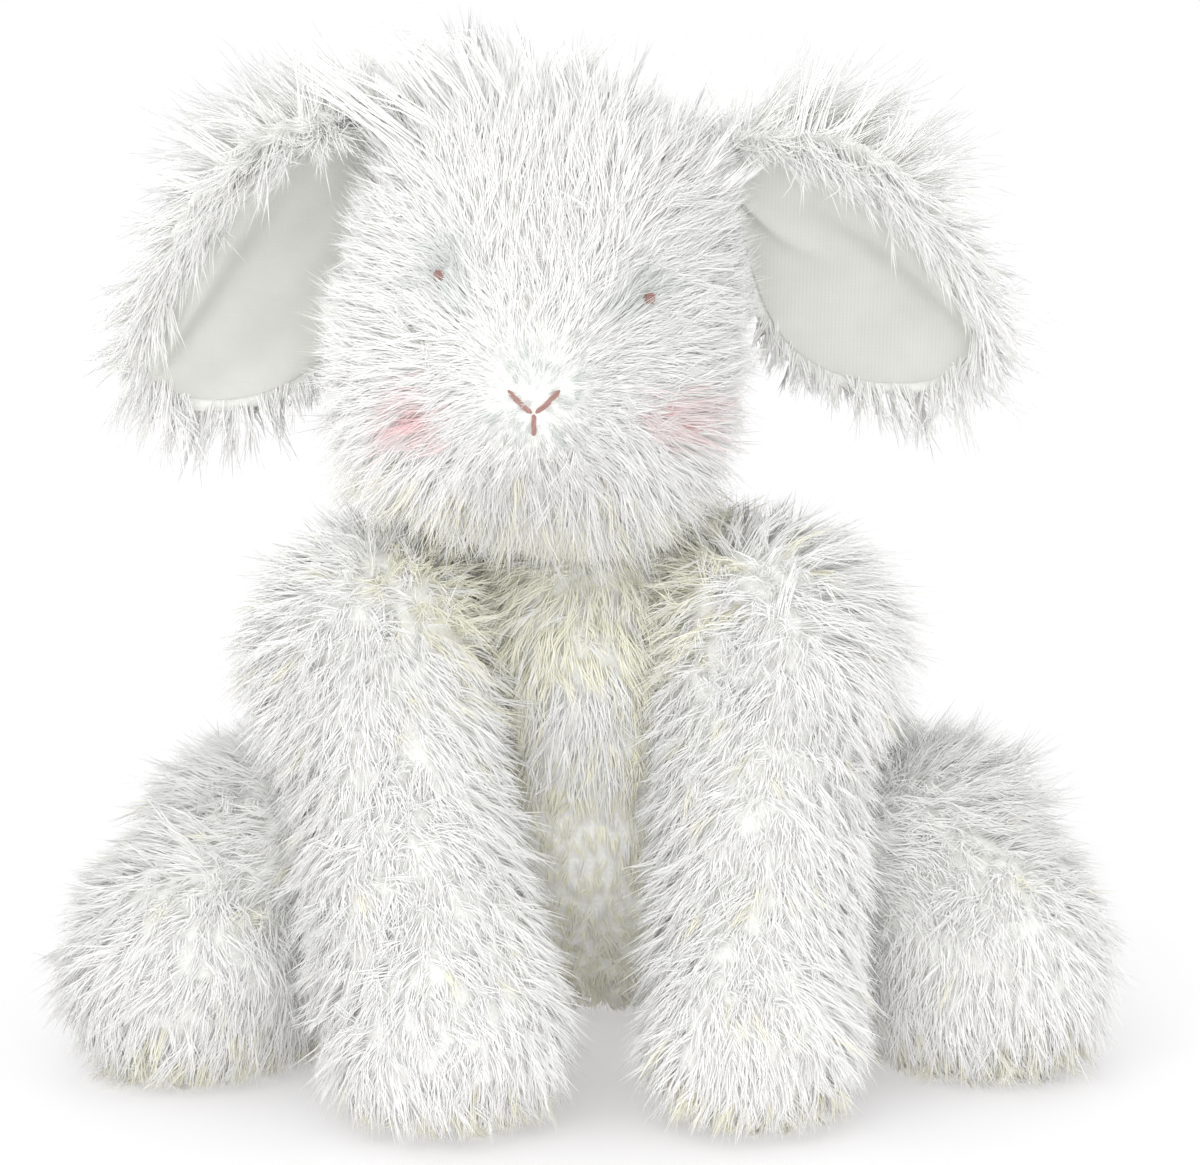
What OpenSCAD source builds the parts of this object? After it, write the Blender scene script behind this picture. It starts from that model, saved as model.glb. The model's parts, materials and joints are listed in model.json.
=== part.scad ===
// Seated plush rabbit with lop ears: sewn plush shells, fibre filling and pellet bags.
// Millimetres, +Z up, the face looks along -Y. The origin is on the floor under the middle.

/* [Torso] */
// Radius of each rounded hip corner
hip_r = 50; // [46:1:52]
// Distance of each hip corner from the torso's middle plane
hip_x = 40; // [37:1:42]
// Radius of the belly
belly_r = 51; // [48:1:52]
// Radius of the chest
chest_r = 37; // [34:1:39]
// Height of the middle of the chest
chest_z = 107; // [100:1:110]

/* [Head] */
// Radius of the crown
crown_r = 38; // [36:1:39]
// Radius of each cheek
cheek_r = 37; // [34:1:38]
// Height of the middle of the head
head_z = 198; // [196:1:204]
// Sideways tilt of the head, in degrees
head_roll = 6; // [0:1:8]

/* [Ears] */
// Length of an ear from its root seam to its tip
ear_length = 106; // [98:1:108]
// Width of an ear at its widest
ear_width = 60; // [54:1:62]
// Thickness of the plush back of an ear
ear_t = 4.6; // [4:0.2:5]
// Thickness of the satin lining of an ear
lining_t = 1.2; // [0.8:0.2:1.4]

/* [Arms] */
// Radius of an arm at the shoulder
shoulder_r = 24; // [22:1:25]
// Radius of the right paw, the one that stands forward
paw_right_r = 28; // [26:1:29]
// Radius of the left paw
paw_left_r = 25; // [24:1:26]

/* [Legs] */
// Radius of a leg at the hip
hip_end_r = 37; // [35:1:38]
// Radius of a foot
foot_r = 30; // [28:1:31]

/* [Fabric] */
// Thickness of the plush fabric with its dense pile
skin_t = 3; // [2:0.5:4]
// Thickness of a pellet bag's cloth
bag_t = 0.8; // [0.6:0.1:1.2]

/* [Hidden] */

gap = 0.7;            // running room between pieces that move past each other
slack = 0.3;          // room between a filling and the cloth around it
hull_fn = 28;
facet_ratio = pow(cos(180 / hull_fn), 2);  // how far a facet's middle falls inside its sphere
round_fn = 48;
big = 400;
torso_x = 4;          // the seated body leans a little to its left

// Neck: a packed ball of filling that the head nods and turns on
neck = [-4, -13, 151];
neck_r = 19;
neck_opening_r = 11;

// Head, in its own frame: the origin is the middle of the head
head_at = [-12, -31, head_z];
crown_left = [[8, 3, 18], crown_r];
crown_right = [[-8, 3, 18], crown_r];
cheek_left = [[13, -6, -11], cheek_r];
cheek_right = [[-13, -6, -11], cheek_r];
muzzle = [[0, -36, -13], 20];
nape = [[0, 12, -2], 39];
eye_at = [26.5, -33.9, 15];
eye_r = 1.7;
nose_at = [0.5, -55.6, -13];
thread_r = 0.8;

// Ears: place of the hinge in the head's frame, and droop below level
ear_root = [35, 14, 47];
ear_root_r = 8;
ear_left_droop = 35;
ear_right_droop = 52;
ear_lean = 18;        // turn about the ear's own length, lower edge to the back
ear_left_sweep = 20;   // the tip points this much to the back
ear_right_sweep = 10;
ear_upper_late = 0.75;
ear_lower_late = 1.6;
ear_steps = 24;

// Limbs: [joint centre, far centre, joint radius, far radius]
arm_left = [[46, -29, 109], [43, -84, paw_left_r - 1.5], shoulder_r, paw_left_r];
arm_right = [[-55, -29, 109], [-37, -86, paw_right_r - 1.5], shoulder_r, paw_right_r];
leg_left = [[73, 4, hip_end_r - 1], [105, -38, foot_r - 1.5], hip_end_r, foot_r];
leg_right = [[-69, 4, hip_end_r - 1], [-105, -40, foot_r - 1.5], hip_end_r, foot_r];

tail_at = [torso_x, 97, 34];
tail_r = 17;

// ---- general shapes ----

// Rounded, tapered tube from a to b, as one turned solid
module limb_form(limb, inset) {
    reach = limb[1] - limb[0];
    length = norm(reach);
    near_r = limb[2] - inset;
    far_r = limb[3] - inset;
    lean = asin((near_r - far_r) / length);
    steps = 8;
    profile = concat(
        [for (i = [0 : steps]) let (a = -90 + (90 + lean) * i / steps)
            [i == 0 ? 0 : near_r * cos(a), near_r * sin(a)]],
        [for (i = [0 : steps]) let (a = lean + (90 - lean) * i / steps)
            [i == steps ? 0 : far_r * cos(a), length + far_r * sin(a)]]
    );
    translate(limb[0])
        rotate([0, acos(reach[2] / length), atan2(reach[1], reach[0])])
            rotate_extrude($fn = round_fn) polygon(profile);
}

module above_floor(height) {
    translate([-big / 2, -big / 2, height]) cube(big);
}

module ball_hull(balls, inset) {
    hull()
        for (b = balls)
            translate(b[0]) sphere(b[1] - inset, $fn = hull_fn);
}

// Ball that clears a moving ball of radius r, to cut from what it is sewn to
module dish(at, r, inset) {
    translate(at) sphere((r + gap) / facet_ratio + inset, $fn = hull_fn);
}

// Flattened, turned bag with a rounded rim
module cushion(radius, height) {
    steps = 10;
    rotate_extrude($fn = round_fn)
        polygon([for (i = [0 : steps]) let (a = -90 + 180 * i / steps)
            [(i == 0 || i == steps) ? 0 : radius * cos(a), height / 2 * sin(a)]]);
}

// Straight round thread between two points, with ball ends
module thread(a, b, r) {
    reach = b - a;
    length = norm(reach);
    translate(a)
        rotate([0, acos(reach[2] / length), atan2(reach[1], reach[0])])
            union() {
                cylinder(h = length, r = r, $fn = 16);
                sphere(r, $fn = 16);
                translate([0, 0, length]) sphere(r, $fn = 16);
            }
}

// ---- torso ----

torso_balls = [
    [[torso_x + hip_x, 34, hip_r - 4], hip_r],
    [[torso_x - hip_x, 34, hip_r - 4], hip_r],
    [[torso_x, 13, 60], belly_r],
    [[torso_x - 4, 0, chest_z], chest_r],
    [[torso_x + 25, 8, chest_z - 3], chest_r - 5],
    [[torso_x - 25, 8, chest_z - 3], chest_r - 5]
];

// Solid of the torso with a dish for each piece sewn to it
module torso_form(inset) {
    difference() {
        intersection() {
            ball_hull(torso_balls, inset);
            above_floor(inset);
        }
        for (limb = [arm_left, arm_right]) limb_form(limb, -gap - inset);
        for (limb = [leg_left, leg_right]) dish(limb[0], limb[2], inset);
        dish(neck, neck_r, inset);
    }
}

// Opening in the cloth above and below the neck, where the filling went in
module neck_opening() {
    translate(neck + [0, 0, -neck_r - 8]) cylinder(h = 2 * neck_r + 16, r = neck_opening_r);
}

torso_bag_at = [torso_x, 30, 24];
torso_bag_r = 34;
torso_bag_h = 30;

module torso_skin() {
    color("ivory")
        difference() {
            torso_form(0);
            torso_form(skin_t);
            neck_opening();
        }
}

module torso_stuffing() {
    color("white")
        difference() {
            torso_form(skin_t + slack);
            translate(torso_bag_at) cushion(torso_bag_r + slack, torso_bag_h + 2 * slack);
            translate([torso_bag_at[0], torso_bag_at[1], -1]) cylinder(h = torso_bag_at[2], r = 24);
        }
}

module torso_pellet_bag() {
    color("gainsboro") translate(torso_bag_at)
        difference() {
            cushion(torso_bag_r, torso_bag_h);
            cushion(torso_bag_r - bag_t, torso_bag_h - 2 * bag_t);
        }
}

module torso_pellets() {
    color("whitesmoke") translate(torso_bag_at)
        cushion(torso_bag_r - bag_t - slack, torso_bag_h - 2 * bag_t - 2 * slack);
}

module tail_skin() {
    color("ivory") translate(tail_at)
        difference() {
            sphere(tail_r, $fn = round_fn);
            sphere(tail_r - skin_t, $fn = round_fn);
        }
}

module tail_stuffing() {
    color("white") translate(tail_at)
        sphere(tail_r - skin_t - slack, $fn = round_fn);
}

// Ring of thread that closes the tail and holds it on the rump
module tail_stitch() {
    color("ivory") translate(tail_at + [0, -tail_r + 2.2, 0])
        rotate([90, 0, 0])
            rotate_extrude($fn = round_fn) translate([7, 0]) circle(thread_r, $fn = 16);
}

// Ladder stitch down the middle of the back, where the torso was closed
stitch_pitch = 5;
stitch_count = 8;

// How far back the torso's surface is at the height z, on its middle plane
function back_y(z) = z < 76 ? 83.6 - pow(z - 46, 2) / 92 : 137.2 - 0.8335 * z;

module back_closing_stitch() {
    color("ivory")
        for (i = [0 : stitch_count - 1])
            let (z = 62 + i * stitch_pitch, y = back_y(z) - 0.3)
                thread([torso_x - 2, y, z], [torso_x + 2, y, z + 1.5], thread_r);
}

// Folded woven tape, sewn into the seam beside the tail
label_size = [13, 20, 0.5];

module care_label() {
    color("white") translate([torso_x - 34, 80, 27])
        rotate([0, 0, 14]) rotate([-8, 90, 0])
            for (side = [-1, 1])
                translate([-label_size[0] / 2, 0, side * 0.45 - label_size[2] / 2])
                    cube(label_size);
}

// ---- neck and head ----

module neck_stuffing() {
    color("white") translate(neck) sphere(neck_r, $fn = round_fn);
}

// Places a child given in the head's own frame
module on_head() {
    translate(head_at) rotate([0, head_roll, 0]) children();
}

// Slots in the head where the ear roots are sewn in
module ear_slot(side, inset) {
    translate([side * ear_root[0], ear_root[1], ear_root[2]])
        rotate([90, 0, 0])
            cylinder(h = 2 * (ear_root_r + inset) + 4, r = ear_root_r + 2 + inset, center = true,
                $fn = round_fn);
}

module head_form(inset) {
    difference() {
        on_head() ball_hull([crown_left, crown_right, cheek_left, cheek_right, muzzle, nape], inset);
        on_head()
            for (side = [-1, 1]) ear_slot(side, inset);
        dish(neck, neck_r, inset);
    }
}

module head_skin() {
    color("ivory")
        difference() {
            head_form(0);
            head_form(skin_t);
            neck_opening();
        }
}

module head_stuffing() {
    color("white") head_form(skin_t + slack);
}

// Short stitches over the seam from the forehead to the nape
module crown_seam_stitch() {
    color("ivory") on_head()
        for (a = [20 : 15 : 80])
            let (r = crown_r + 0.2, y = 3 + r * cos(a + 60), z = 18 + r * sin(a + 60))
                thread([-1.6, y, z], [1.6, y, z], thread_r);
}

module eye(side) {
    color("rosybrown") on_head()
        translate([side * eye_at[0], eye_at[1], eye_at[2]]) sphere(eye_r, $fn = 24);
}

// The nose stays level although the head is tilted. Its origin is where the stitches meet
module on_nose() {
    on_head() translate(nose_at) rotate([0, -head_roll, 0]) children();
}

module nose_stitch(side) {
    color("rosybrown") on_nose() thread([side * 0.9, 0, 0.5], [side * 6, 2.4, 5], thread_r);
}

module mouth_stitch() {
    color("rosybrown") on_nose() thread([0, 0, -0.8], [0, 0.8, -5.2], thread_r);
}

// ---- ears ----

// Half the width of an ear at the share t of its length. The larger late is, the further
// out the edge widens
function ear_half(t, late) = ear_width / 2 * pow(sin(180 * pow(t, late)), 1 - 0.5 * t);

// Share of the ear's length at step i: the steps get shorter towards the tip
function ear_share(i) = sin(90 * i / ear_steps);

// Flat outline of an ear: root at the origin, tip along +X, lower edge along -Y
module ear_outline(inset) {
    length = ear_length - 2 * inset;
    narrow = 1 - 2 * inset / ear_width;
    polygon(concat(
        [for (i = [0 : ear_steps - 1]) let (t = ear_share(i))
            [inset + t * length, -narrow * ear_half(t, ear_lower_late)]],
        [for (i = [ear_steps : -1 : 1]) let (t = ear_share(i))
            [inset + t * length, narrow * ear_half(t, ear_upper_late)]]
    ));
}

// Places a flat ear on the head. In the ear's frame +Z is the side with the lining
module place_ear(side, droop, sweep) {
    on_head()
        translate([side * ear_root[0], ear_root[1], ear_root[2]])
            mirror([side < 0 ? 1 : 0, 0, 0])
                rotate([0, droop, 0]) rotate([0, 0, sweep]) rotate([90 + ear_lean, 0, 0])
                    children();
}

module ear_back(side, droop, sweep) {
    color("ivory") place_ear(side, droop, sweep)
        translate([0, 0, -ear_t])
            linear_extrude(ear_t)
                union() {
                    ear_outline(0);
                    circle(ear_root_r, $fn = round_fn);
                }
}

module ear_lining(side, droop, sweep) {
    color("honeydew") place_ear(side, droop, sweep)
        linear_extrude(lining_t) ear_outline(4);
}

module ear_root_stitch(side, droop, sweep) {
    color("ivory") place_ear(side, droop, sweep)
        for (x = [-5, -2, 1])
            thread([x, -2, 0.3], [x, 2, 0.3], thread_r);
}

// ---- limbs ----

// Where a limb's pellet bag sits, and how it is sized: low in the paw or foot
function bag_centre(limb) = limb[1] + 0.14 * (limb[0] - limb[1]);
function bag_radius(limb) = limb[3] * 0.66;
function bag_height(limb) = limb[3] * 0.84;

module limb_solid(limb, inset) {
    intersection() {
        limb_form(limb, inset);
        above_floor(inset);
    }
}

module limb_skin(limb) {
    color("ivory")
        difference() {
            limb_solid(limb, 0);
            limb_solid(limb, skin_t);
        }
}

module limb_stuffing(limb) {
    color("white")
        difference() {
            limb_solid(limb, skin_t + slack);
            translate(bag_centre(limb))
                cushion(bag_radius(limb) + slack, bag_height(limb) + 2 * slack);
        }
}

module limb_pellet_bag(limb) {
    color("gainsboro") translate(bag_centre(limb))
        difference() {
            cushion(bag_radius(limb), bag_height(limb));
            cushion(bag_radius(limb) - bag_t, bag_height(limb) - 2 * bag_t);
        }
}

module limb_pellets(limb) {
    color("whitesmoke") translate(bag_centre(limb))
        cushion(bag_radius(limb) - bag_t - slack, bag_height(limb) - 2 * bag_t - 2 * slack);
}

// ---- nodes ----

torso_skin();
torso_stuffing();
torso_pellet_bag();
torso_pellets();
tail_skin();
tail_stuffing();
tail_stitch();
back_closing_stitch();
care_label();
neck_stuffing();
head_skin();
head_stuffing();
crown_seam_stitch();
eye(1);  // eye_left
eye(-1);  // eye_right
nose_stitch(1);  // nose_stitch_left
nose_stitch(-1);  // nose_stitch_right
mouth_stitch();
ear_back(1, ear_left_droop, ear_left_sweep);  // ear_left_back
ear_lining(1, ear_left_droop, ear_left_sweep);  // ear_left_lining
ear_root_stitch(1, ear_left_droop, ear_left_sweep);  // ear_left_root_stitch
ear_back(-1, ear_right_droop, ear_right_sweep);  // ear_right_back
ear_lining(-1, ear_right_droop, ear_right_sweep);  // ear_right_lining
ear_root_stitch(-1, ear_right_droop, ear_right_sweep);  // ear_right_root_stitch
limb_skin(arm_left);  // arm_left_skin
limb_stuffing(arm_left);  // arm_left_stuffing
limb_pellet_bag(arm_left);  // arm_left_pellet_bag
limb_pellets(arm_left);  // arm_left_pellets
limb_skin(arm_right);  // arm_right_skin
limb_stuffing(arm_right);  // arm_right_stuffing
limb_pellet_bag(arm_right);  // arm_right_pellet_bag
limb_pellets(arm_right);  // arm_right_pellets
limb_skin(leg_left);  // leg_left_skin
limb_stuffing(leg_left);  // leg_left_stuffing
limb_pellet_bag(leg_left);  // leg_left_pellet_bag
limb_pellets(leg_left);  // leg_left_pellets
limb_skin(leg_right);  // leg_right_skin
limb_stuffing(leg_right);  // leg_right_stuffing
limb_pellet_bag(leg_right);  // leg_right_pellet_bag
limb_pellets(leg_right);  // leg_right_pellets
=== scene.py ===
"""Looks of the seated plush rabbit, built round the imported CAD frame. Metres, Z up."""

import json
import math

import bmesh
import bpy
import numpy as np
from mathutils import Matrix, Vector


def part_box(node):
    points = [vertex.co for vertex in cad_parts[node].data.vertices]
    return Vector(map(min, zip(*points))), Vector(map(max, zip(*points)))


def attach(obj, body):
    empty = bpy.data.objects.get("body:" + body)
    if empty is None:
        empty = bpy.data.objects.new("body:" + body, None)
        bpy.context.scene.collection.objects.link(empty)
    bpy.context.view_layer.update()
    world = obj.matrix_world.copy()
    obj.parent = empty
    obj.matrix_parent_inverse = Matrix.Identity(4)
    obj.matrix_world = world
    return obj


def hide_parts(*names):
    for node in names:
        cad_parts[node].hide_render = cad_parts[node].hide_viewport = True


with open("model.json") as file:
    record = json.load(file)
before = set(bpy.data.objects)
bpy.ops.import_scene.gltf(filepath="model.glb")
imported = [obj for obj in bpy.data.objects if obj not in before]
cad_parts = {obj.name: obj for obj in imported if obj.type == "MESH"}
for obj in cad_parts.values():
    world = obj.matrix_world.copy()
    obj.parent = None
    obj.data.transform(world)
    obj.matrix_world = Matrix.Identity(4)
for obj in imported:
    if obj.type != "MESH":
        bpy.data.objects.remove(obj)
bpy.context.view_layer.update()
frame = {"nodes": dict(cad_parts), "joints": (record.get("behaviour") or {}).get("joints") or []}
nodes = frame["nodes"]
MM = 0.001

# ---------------------------------------------------------------- places
JOINTS = {j["name"]: np.array(j.get("pos_m", (0, 0, 0)), float) for j in frame["joints"]}
HEAD_AT = np.array((-12, -31, 198)) * MM
HEAD_ROLL = math.radians(6)
EAR_ROOT = np.array((35, 14, 47)) * MM
EAR_LEAN = math.radians(18)
EAR_LENGTH = 106 * MM
EAR_WIDTH = 60 * MM
EAR_SPREAD = 2.5 * MM     # the soft ear spreads that far past its flat pattern
# for each ear: side of the head, droop, and sweep to the back
EARS = {"left": (1, math.radians(35), math.radians(20)), "right": (-1, math.radians(52), math.radians(10))}
SIDES = ("left", "right")
DOWN = np.array((0.0, 0.0, -1.0))
BAG_AT = 0.86            # a limb's pellet bag sits that share of the way to its far centre
BAG_ROUND = 0.66         # and its radius is that share of the limb's
ARM_TOP = 24 * MM        # radius of the CAD arm at the shoulder
LEG_TOP = 37 * MM        # and of the leg at the hip
SKIN_INSET = 0.6 * MM    # skins lie that far inside the CAD solids
FLOOR_GAP = 0.6 * MM     # and that far above the floor


def rot_y(angle):
    return np.array(Matrix.Rotation(angle, 3, "Y"))


HEAD_TURN = rot_y(HEAD_ROLL)


def from_head(p):
    """A point, or points, of the head's own frame in the shared frame."""
    return np.asarray(p, float) @ HEAD_TURN.T + HEAD_AT


def to_head(p):
    """The other way round."""
    return (np.asarray(p, float) - HEAD_AT) @ HEAD_TURN


def centre(node):
    lo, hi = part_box(node)
    return (np.array(lo) + np.array(hi)) / 2


def unit(v):
    return v / np.maximum(np.linalg.norm(v, axis=-1, keepdims=True), 1e-12)


def smooth(x, lo, hi):
    """0 below lo, 1 above hi, with a soft turn between."""
    t = np.clip((x - lo) / (hi - lo), 0, 1)
    return t * t * (3 - 2 * t)


LIMBS = {}
for side in SIDES:
    for kind in ("arm", "leg"):
        start = JOINTS[f"{kind}_{side}_raise"]
        bag = centre(f"{kind}_{side}_pellet_bag")
        LIMBS[f"{kind}_{side}"] = (start, start + (bag - start) / BAG_AT)


def limb_radius(name):
    lo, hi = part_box(f"{name}_pellet_bag")
    return (hi[0] - lo[0]) / 2 / BAG_ROUND


def axis_share(points, name):
    """Share of the way from the limb's joint to its far centre, distance from its axis, and the nearest
    point of the axis."""
    a, b = LIMBS[name]
    d = b - a
    t = (points - a) @ d / (d @ d)
    near = a + np.clip(t, 0, 1)[:, None] * d
    return t, np.linalg.norm(points - near, axis=1), near


# ---------------------------------------------------------------- materials
def material(name, colour, roughness=0.6, sheen=0.0, sheen_roughness=0.4, specular=0.4):
    m = bpy.data.materials.new(name)
    m.use_nodes = True
    p = m.node_tree.nodes["Principled BSDF"]
    p.inputs["Base Color"].default_value = (*colour, 1)
    p.inputs["Roughness"].default_value = roughness
    p.inputs["Sheen Weight"].default_value = sheen
    p.inputs["Sheen Roughness"].default_value = sheen_roughness
    p.inputs["Specular IOR Level"].default_value = specular
    return m


def add(m, kind, **settings):
    n = m.node_tree.nodes.new(kind)
    for k, v in settings.items():
        setattr(n, k, v)
    return n


def link(m, a, b):
    m.node_tree.links.new(a, b)


def shader(m):
    return m.node_tree.nodes["Principled BSDF"]


def coordinates(m):
    return add(m, "ShaderNodeTexCoord").outputs["Object"]


def ramp(m, fac, stops):
    r = add(m, "ShaderNodeValToRGB")
    e = r.color_ramp.elements
    while len(e) < len(stops):
        e.new(0.5)
    for el, (pos, col) in zip(e, stops):
        el.position = pos
        el.color = (*col, 1)
    link(m, fac, r.inputs["Fac"])
    return r.outputs["Color"]


def bump(m, height, strength, distance):
    b = add(m, "ShaderNodeBump")
    b.inputs["Strength"].default_value = strength
    b.inputs["Distance"].default_value = distance
    link(m, height, b.inputs["Height"])
    link(m, b.outputs["Normal"], shader(m).inputs["Normal"])


def cloth_material(name, light, dark, thread=0.6 * MM, roughness=0.8, sheen=0.3, strength=0.35,
                   specular=0.3):
    """A woven or knitted cloth: two crossing sets of threads, with a slow change of shade."""
    m = material(name, light, roughness, sheen, specular=specular)
    co = coordinates(m)
    rows = []
    for direction in ("X", "Z"):
        w = add(m, "ShaderNodeTexWave", wave_type="BANDS", bands_direction=direction)
        w.inputs["Scale"].default_value = 1 / thread / 20 * math.pi
        w.inputs["Distortion"].default_value = 1.2
        w.inputs["Detail Scale"].default_value = 3
        link(m, co, w.inputs["Vector"])
        rows.append(w.outputs["Fac"])
    both = add(m, "ShaderNodeMath", operation="MULTIPLY")
    link(m, rows[0], both.inputs[0])
    link(m, rows[1], both.inputs[1])
    noise = add(m, "ShaderNodeTexNoise")
    noise.inputs["Scale"].default_value = 60
    noise.inputs["Detail"].default_value = 4
    link(m, co, noise.inputs["Vector"])
    link(m, ramp(m, noise.outputs["Fac"], [(0.3, dark), (0.7, light)]), shader(m).inputs["Base Color"])
    bump(m, both.outputs[0], strength, thread * 0.4)
    return m


def fur_material(name, tones, roughness, specular):
    """Plush fibre: the tone changes from tuft to tuft, over a slower change of shade."""
    m = material(name, tones[1], roughness, 0.3, 0.4, specular)
    co = coordinates(m)
    cells = add(m, "ShaderNodeTexVoronoi")
    cells.inputs["Scale"].default_value = 380
    slow = add(m, "ShaderNodeTexNoise")
    slow.inputs["Scale"].default_value = 45
    slow.inputs["Detail"].default_value = 3
    for n in (cells, slow):
        link(m, co, n.inputs["Vector"])
    grey = add(m, "ShaderNodeRGBToBW")
    link(m, cells.outputs["Color"], grey.inputs["Color"])
    mix = add(m, "ShaderNodeMath", operation="MULTIPLY_ADD")
    mix.inputs[1].default_value = 0.6
    link(m, grey.outputs["Val"], mix.inputs[0])
    part = add(m, "ShaderNodeMath", operation="MULTIPLY")
    part.inputs[1].default_value = 0.4
    link(m, slow.outputs["Fac"], part.inputs[0])
    link(m, part.outputs[0], mix.inputs[2])
    link(m, ramp(m, mix.outputs[0], [(0.25, tones[2]), (0.45, tones[1]), (0.7, tones[0])]),
         shader(m).inputs["Base Color"])
    return m


FUR = {
    name: fur_material(f"fur_{name}", tones, roughness, specular) for name, tones, roughness, specular in (
        ("white", [(0.992, 0.992, 0.978), (0.987, 0.987, 0.967), (0.977, 0.976, 0.945)], 0.6, 0.2),
        # painted shade: a beige tone painted where shade falls, in creases, at the throat and between parts
        ("painted_shade", [(0.99, 0.98, 0.87), (0.985, 0.971, 0.82), (0.975, 0.956, 0.76)], 0.55, 0.3),
        # painted shade: a grey-green tone painted above the eyes and round the nose
        ("grey_painted_shade", [(0.88, 0.9, 0.88), (0.83, 0.855, 0.83), (0.76, 0.79, 0.76)], 0.55, 0.3),
        ("blush", [(0.95, 0.74, 0.74), (0.93, 0.64, 0.64), (0.9, 0.55, 0.56)], 0.45, 0.45),
        ("blush_pale", [(0.96, 0.88, 0.87), (0.94, 0.82, 0.81), (0.92, 0.75, 0.74)], 0.45, 0.45),
    )
}
M_SKIN = cloth_material("plush_backing", (0.93, 0.93, 0.9), (0.88, 0.88, 0.84), 0.9 * MM, sheen=0.1)


# ---------------------------------------------------------------- meshes
def new_object(name, mesh, body, replaces=(), materials=()):
    o = bpy.data.objects.new(name, mesh)
    bpy.context.scene.collection.objects.link(o)
    for m in materials:
        mesh.materials.append(m)
    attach(o, body)
    if replaces:
        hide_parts(*replaces)
    return o


def mesh_of(name, verts, faces):
    me = bpy.data.meshes.new(name)
    me.from_pydata([tuple(v) for v in verts], [], [tuple(f) for f in faces])
    me.update()
    return me


def shade_smooth(me):
    me.polygons.foreach_set("use_smooth", np.ones(len(me.polygons), bool))
    me.update()


def hull_object(node, swell=0.0):
    """Scratch object: the convex hull of a CAD node, swollen by that much."""
    bm = bmesh.new()
    for v in nodes[node].data.vertices:
        bm.verts.new(v.co)
    made = bmesh.ops.convex_hull(bm, input=bm.verts)
    loose = [g for g in made["geom_interior"] + made["geom_unused"] if isinstance(g, bmesh.types.BMVert)]
    bmesh.ops.delete(bm, geom=list(set(loose)), context="VERTS")
    if swell:
        bm.normal_update()
        c = sum((v.co for v in bm.verts), Vector()) / len(bm.verts)
        for v in bm.verts:
            v.co += (v.co - c).normalized() * swell
    me = bpy.data.meshes.new("scratch_" + node)
    bm.to_mesh(me)
    bm.free()
    o = bpy.data.objects.new("scratch_" + node, me)
    bpy.context.scene.collection.objects.link(o)
    return o


def applied(o):
    """The mesh of o with its modifiers, and o removed."""
    dg = bpy.context.evaluated_depsgraph_get()
    me = bpy.data.meshes.new_from_object(o.evaluated_get(dg))
    bpy.data.objects.remove(o)
    return me


def get_co(me):
    co = np.empty(len(me.vertices) * 3)
    me.vertices.foreach_get("co", co)
    return co.reshape(-1, 3)


def get_normals(me):
    no = np.empty(len(me.vertices) * 3)
    me.vertices.foreach_get("normal", no)
    return no.reshape(-1, 3)


def set_co(me, co):
    me.vertices.foreach_set("co", np.asarray(co, np.float32).ravel())
    me.update()


def triangles(me):
    me.calc_loop_triangles()
    t = np.empty(len(me.loop_triangles) * 3, np.int32)
    me.loop_triangles.foreach_get("vertices", t)
    return t.reshape(-1, 3)


def waves(points, scale, seed, octaves=2):
    """Smooth, seeded noise from about -1 to 1 at each point."""
    r = np.random.default_rng(seed)
    total = np.zeros(len(points))
    for k in range(octaves):
        d = unit(r.normal(size=(6, 3)))
        ph = r.uniform(0, 6.28, 6)
        total += np.sin(points @ d.T * (6.28 / scale * 2 ** k) + ph).sum(1) / 3.5 / 1.6 ** k
    return total


def skin_mesh(node, inset=SKIN_INSET, voxel=3 * MM, carve=(), rounds=6):
    """Closed, rounded skin inside a CAD node's outer shape, hollowed where each piece in carve sits."""
    o = hull_object(node)
    cutters = [hull_object(c, 1.5 * MM) for c in carve]
    for c in cutters:
        b = o.modifiers.new("carve", "BOOLEAN")
        b.operation, b.object, b.solver = "DIFFERENCE", c, "EXACT"
    r = o.modifiers.new("remesh", "REMESH")
    r.mode, r.voxel_size = "VOXEL", voxel
    s = o.modifiers.new("smooth", "SMOOTH")
    s.factor, s.iterations = 0.5, rounds
    me = applied(o)
    for c in cutters:
        bpy.data.objects.remove(c)
    me.name = "skin_" + node
    co, no = get_co(me), get_normals(me)
    co = co - no * inset
    co[:, 2] = np.maximum(co[:, 2], FLOOR_GAP)
    set_co(me, co)
    shade_smooth(me)
    return me


# ---------------------------------------------------------------- fur
class Fur:
    """Strands as thin, tapered, three-sided spikes, kept in pieces small enough to store."""

    LIMIT = 190_000      # triangles in one piece

    def __init__(self, name, body, slots):
        self.name, self.body, self.slots = name, body, slots
        self.found = []

    def add(self, curves, radii, tints, outward):
        """curves: strands x points x 3, radii: strands x points, tints: strands, outward: strands x 3."""
        self.found.append((curves, radii, tints, outward))

    def build(self):
        """Joins the strands that have equally many points, and shares them out over the pieces."""
        groups = {}
        for one in self.found:
            groups.setdefault(one[0].shape[1], []).append(one)
        parts = [tuple(np.concatenate(column) for column in zip(*found))
                 for _, found in sorted(groups.items())]
        total = sum(len(curves) * (6 * (curves.shape[1] - 2) + 4) for curves, *_ in parts)
        count = max(1, math.ceil(total / self.LIMIT))
        for k in range(count):
            rows = []
            base = first = 0
            for curves, radii, tints, outward in parts:
                order = np.argsort(curves[:, 0, 0] * 0.3 + curves[:, 0, 1], kind="stable")
                pick = np.array_split(order, count)[k]
                if not len(pick):
                    continue
                made = spikes(curves[pick], radii[pick], tints[pick], outward[pick])
                verts, faces, slots, strands, normals = made
                rows.append((verts, faces + base, slots, strands + first, normals))
                base += len(verts)
                first += len(pick)
            name = self.name if count == 1 else f"{self.name}_{k + 1}"
            me = fur_mesh(name, *(np.concatenate(column) for column in zip(*rows)))
            new_object(name, me, self.body, (), [FUR[slot] for slot in self.slots])


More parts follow.
